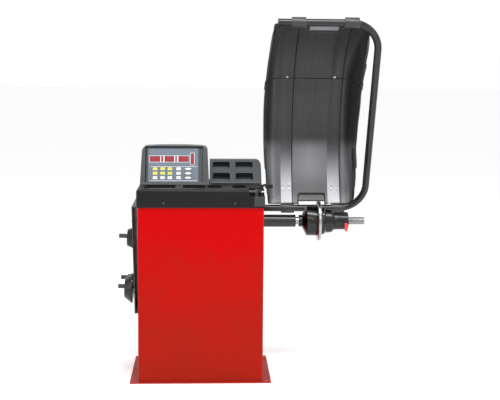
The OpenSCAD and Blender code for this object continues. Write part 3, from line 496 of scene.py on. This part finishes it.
def hood_shell(name, part, slices, replaces=(), grow=0.0, thick=SHEET_T):
    """A shell as a sheet over rows of angles and the section's points, given its thickness outwards."""
    stops = rows(part, slices)
    count = len(section(0.0, grow))
    verts, painted_light_shade, gap = [], [], []
    for k in range(count):
        x, radius = section(0.1, grow)[k]
        for t in stops:
            for _ in range(4):
                first, last = shell_angles(x, radius, part)
                angle = first + (last - first) * t
                x, radius = section(angle, grow)[k]
            u = DRUM_U + radius * math.sin(angle)
            far = radius + (pocket_depth(part, x, u) if radius > DRUM_R - SHEET_T - 1 else 0.0)
            u, v = DRUM_U + far * math.sin(angle), DRUM_V + far * math.cos(angle)
            verts.append(from_hood(x, v, u))
            back = far > radius + 10
            gap.append(part == "lower" and far > radius + POCKET_DEPTH - 0.5 and u < SLOT_END_U)
            # Painted light and shade: a pocket's back wall keeps little of the painted light, and the upper
            # pocket's back wall gets a painted light of its own.
            tone = painted_light_shade_at(x, angle) * (0.2 if back else 1.0)
            painted_light_shade.append(tone + (0.42 if part == "upper" and back else 0.0))
    width = len(stops)
    faces = []
    for k in range(count - 1):
        for i in range(width - 1):
            a = k * width + i
            corners = (a, a + 1, a + width + 1, a + width)
            if not all(gap[c] for c in corners):
                faces.append(corners)
    mesh = bpy.data.meshes.new(name)
    mesh.from_pydata([tuple(c * MM for c in v) for v in verts], [], faces)
    middle = mesh.polygons[(count // 2) * (width - 1) + width // 2]
    axis_y, axis_z = [c * MM for c in from_hood(0.0, DRUM_V, DRUM_U)[1:]]
    if (axis_y - middle.center.y) * middle.normal.y + (axis_z - middle.center.z) * middle.normal.z < 0:
        mesh.flip_normals()
    values = mesh.attributes.new("painted_light_shade", "FLOAT", "POINT")
    values.data.foreach_set("value", painted_light_shade)
    mesh.shade_smooth()
    made = bpy.data.objects.new(name, mesh)
    SCENE.collection.objects.link(made)
    mesh.materials.append(MATERIALS["hood_plastic"])
    mesh.materials.append(HOOD_BACK)
    sheet = made.modifiers.new("sheet", "SOLIDIFY")
    sheet.thickness = thick * MM
    sheet.offset = -1.0
    sheet.material_offset = 1
    sheet.material_offset_rim = 1
    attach(made, "hood")
    if replaces:
        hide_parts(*replaces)
    return made


hood_shell("hood_upper_shell", "upper", 60, ["hood_upper"])
hood_shell("hood_lower_shell", "lower", 96, ["hood_lower"])
hood_shell("hood_joint_lap", "lap", 8, grow=SHEET_T + 0.4, thick=3.0)


# ---- shaft with its thread ----

def threaded_shaft():
    """The shaft's own steps, then a thread of 4 mm pitch up to its chamfered end."""
    rear, end, r = SHAFT[0][0] / MM, SHAFT[1][0] / MM, 18.0
    start, pitch, depth, count = 600.0, 4.0, 1.3, 56
    plain = [(rear, 0.01), (rear, 10.0), (-208.0, 10.0), (-208.0, 12.5), (-140.0, 12.5),
             (-140.0, 17.0), (400.0, 17.0), (400.0, r), (start, r)]
    rings = [ring_x(x, radius, count) for x, radius in plain]
    x = start
    while x < end - 0.5:
        ring = []
        for k in range(count):
            phase = ((x - start) / pitch + k / count) % 1.0
            tooth = 1.0 - abs(2.0 * phase - 1.0)
            fade = smooth((x - start) / 4.0)
            top = r - max(0.0, x - (end - 3.0)) * 2.5 / 3.0
            radius = top - depth * fade * (1.0 - min(1.0, tooth * 1.35))
            a = 2 * math.pi * k / count
            ring.append((x, AXIS[0] + radius * math.cos(a), AXIS[1] + radius * math.sin(a)))
        rings.append(ring)
        x += 0.5
    # chamfer and centre hole
    rings += [ring_x(end, r - 3.0, count), ring_x(end, 6.0, count),
              ring_x(end - 4.0, 3.2, count), ring_x(end - 4.0, 0.01, count)]
    verts, faces = loft(rings)
    made = piece("shaft_with_thread", verts, faces, "bright_steel", "spindle", ["main_shaft"], sharp=50.0)
    made.data.materials[0] = THREAD_STEEL


threaded_shaft()


# ---- print on the display ----

TILT = math.radians(22.0)
PANEL_ORIGIN = (4.0, 910.0)


def on_panel(x, y, z):
    """A point of the display panel's frame: x right, z up the slope, -y outwards."""
    return (x, PANEL_ORIGIN[0] + y * math.cos(TILT) + z * math.sin(TILT),
            PANEL_ORIGIN[1] - y * math.sin(TILT) + z * math.cos(TILT))


def bars(name, boxes, lift, slot, body, thick=0.25):
    """Thin raised bars on the panel, each as (x0, z0, x1, z1), at y = -lift."""
    verts, faces = [], []
    for x0, z0, x1, z1 in boxes:
        base = len(verts)
        for y in (-lift, -lift - thick):
            verts += [on_panel(x0, y, z0), on_panel(x1, y, z0), on_panel(x1, y, z1), on_panel(x0, y, z1)]
        faces += [tuple(base + i for i in f) for f in
                  ((0, 1, 2, 3), (7, 6, 5, 4), (0, 4, 5, 1), (1, 5, 6, 2), (2, 6, 7, 3), (3, 7, 4, 0))]
    return piece(name, verts, faces, slot, body)


def frame_bars(x0, z0, x1, z1, w):
    """Four bars of width w inside a rectangle's outline."""
    return [(x0, z0, x1, z0 + w), (x0, z1 - w, x1, z1),
            (x0, z0 + w, x0 + w, z1 - w), (x1 - w, z0 + w, x1, z1 - w)]


def digit(x, z, w, h, t):
    """The seven segments, t wide, of one digit whose lower left corner is at (x, z)."""
    mid = z + h / 2
    flat = [(x + t, low, x + w - t, low + t) for low in (z, mid - t / 2, z + h - t)]
    upright = [(side, low, side + t, high) for side in (x, x + w - t)
               for low, high in ((z + t, mid - t / 2), (mid + t / 2, z + h - t))]
    return flat + upright


def display_print():
    """Pale lines round the windows and the keys, and the windows' unlit segments."""
    windows = [(-244.4, -195.4), (-190.4, -181.0), (-174.7, -129.0), (-123.0, -116.1), (-108.6, -59.6)]
    outline = frame_bars(-248.5, 106.5, -55.8, 140.5, 1.5) + frame_bars(-51.8, 92.5, -31.2, 154.5, 1.5)
    for (_, a), (b, _) in zip(windows[:-1], windows[1:]):
        outline.append((a + 0.9, 108.0, b - 0.9, 139.0))
    outline += [(-244.0, 84.6, -18.0, 86.3), (-244.0, 14.6, -18.0, 16.3)]
    made = bars("display_lines", outline, 0.8, "key_white", "machine")
    made.data.materials[0] = PRINT_PALE
    segments = []
    for left, right in (windows[0], windows[2], windows[4]):
        pitch = (right - left - 3.0) / 3
        for n in range(3):
            segments += digit(left + 3.5 + n * pitch, 114.0, pitch - 4.6, 19.0, 1.5)
    for left, right in (windows[1], windows[3]):
        mid = (left + right) / 2
        segments += [(mid - 1.3, z, mid + 1.3, z + 3.4) for z in (115.0, 121.5, 128.0)]
    segments += [(-46.0, 100.0 + 5.0 * n, -37.0, 102.6 + 5.0 * n) for n in range(10)]
    made = bars("display_segments", segments, 0.6, "window_red", "machine", 0.12)
    made.data.materials[0] = SEGMENT_DARK


display_print()


def key_marks():
    """A small plain mark on each key: a pair of bars, a ring of four bars, a cross, or one bar."""
    for n in list(range(1, 13)) + [-1, -2, -3]:
        node = "key_%d" % n if n > 0 else "oval_key_%d" % -n
        low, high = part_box(node)
        cx, cy, cz = [(a + b) / 2 / MM for a, b in zip(low, high)]
        z = (cy - PANEL_ORIGIN[0]) * math.sin(TILT) + (cz - PANEL_ORIGIN[1]) * math.cos(TILT)
        front = min((v.co.y / MM - PANEL_ORIGIN[0]) * math.cos(TILT)
                    - (v.co.z / MM - PANEL_ORIGIN[1]) * math.sin(TILT) for v in NODES[node].data.vertices)
        if n < 0:
            boxes = [(cx - 6, z - 0.5, cx + 6, z + 0.5)]
        elif n % 3 == 0:
            boxes = [(cx - 5, z - 1.9, cx + 5, z - 0.9), (cx - 5, z + 0.9, cx + 5, z + 1.9)]
        elif n % 3 == 1:
            boxes = frame_bars(cx - 3.2, z - 3.2, cx + 3.2, z + 3.2, 0.9)
        else:
            boxes = [(cx - 5.5, z - 0.6, cx + 5.5, z + 0.6), (cx - 0.6, z - 3.4, cx + 0.6, z + 3.4)]
        made = bars(node + "_mark", boxes, -front, SLOT_OF[node], BODY_OF[node], 0.12)
        made.data.materials[0] = PRINT_DARK


key_marks()


# ---- camera, lights, floor ----

def photo_camera():
    """The photograph's camera: in front of the machine, above its tray, looking slightly down."""
    data = bpy.data.cameras.new("camera")
    data.sensor_width = 36.0
    data.lens = 76.04
    data.clip_end = 100.0
    made = bpy.data.objects.new("camera", data)
    SCENE.collection.objects.link(made)
    yaw, pitch, roll = math.radians(2.445), math.radians(7.364), math.radians(0.397)
    forward = Vector((math.sin(yaw) * math.cos(pitch), math.cos(yaw) * math.cos(pitch), -math.sin(pitch)))
    right = Vector((math.cos(yaw), -math.sin(yaw), 0.0))
    up = right.cross(forward)
    side = right * math.cos(roll) + up * math.sin(roll)
    top = -right * math.sin(roll) + up * math.cos(roll)
    turn = Matrix((side, top, -forward)).transposed()
    made.matrix_world = Matrix.Translation((0.0205, -5.0059, 1.4810)) @ turn.to_4x4()
    SCENE.camera = made


def softbox(name, place_at, aim, size, power):
    """A rectangular light of a power in watts, turned to a point."""
    data = bpy.data.lights.new(name, "AREA")
    data.shape = "RECTANGLE"
    data.size, data.size_y = size
    data.energy = power
    made = bpy.data.objects.new(name, data)
    SCENE.collection.objects.link(made)
    made.location = place_at
    made.rotation_euler = (Vector(aim) - Vector(place_at)).to_track_quat("-Z", "Y").to_euler()


def studio():
    """White surroundings, four softboxes and a white floor."""
    world = bpy.data.worlds.new("studio")
    SCENE.world = world
    world.use_nodes = True
    back = world.node_tree.nodes["Background"]
    back.inputs["Color"].default_value = (1.0, 1.0, 1.0, 1.0)
    back.inputs["Strength"].default_value = 1.0
    softbox("key", (0.2, -4.4, 3.1), (0.4, 0.3, 1.0), (2.6, 1.0), 26.0)
    softbox("fill", (3.4, -2.2, 1.8), (0.3, 0.0, 0.9), (0.8, 2.6), 12.0)
    softbox("side", (-3.4, -0.6, 1.6), (0.0, 0.0, 0.8), (0.8, 2.6), 10.0)
    softbox("top", (0.4, -1.5, 3.8), (0.4, 0.0, 0.75), (3.4, 0.6), 130.0)
    size = 60.0
    mesh = bpy.data.meshes.new("floor")
    corners = [(-size, -size, 0), (size, -size, 0), (size, size, 0), (-size, size, 0)]
    mesh.from_pydata(corners, [], [(0, 1, 2, 3)])
    floor = bpy.data.objects.new("floor", mesh)
    SCENE.collection.objects.link(floor)
    material, bsdf, add, link = shader("floor")
    cloud = noise(add, place(add), 3.0, 4.0)
    link(blend_colour(add, cloud, (0.95, 0.95, 0.95, 1.0), (0.98, 0.98, 0.98, 1.0)), "Base Color")
    bsdf.inputs["Roughness"].default_value = 0.8
    mesh.materials.append(material)
    SCENE.view_settings.view_transform = "Standard"


photo_camera()
studio()
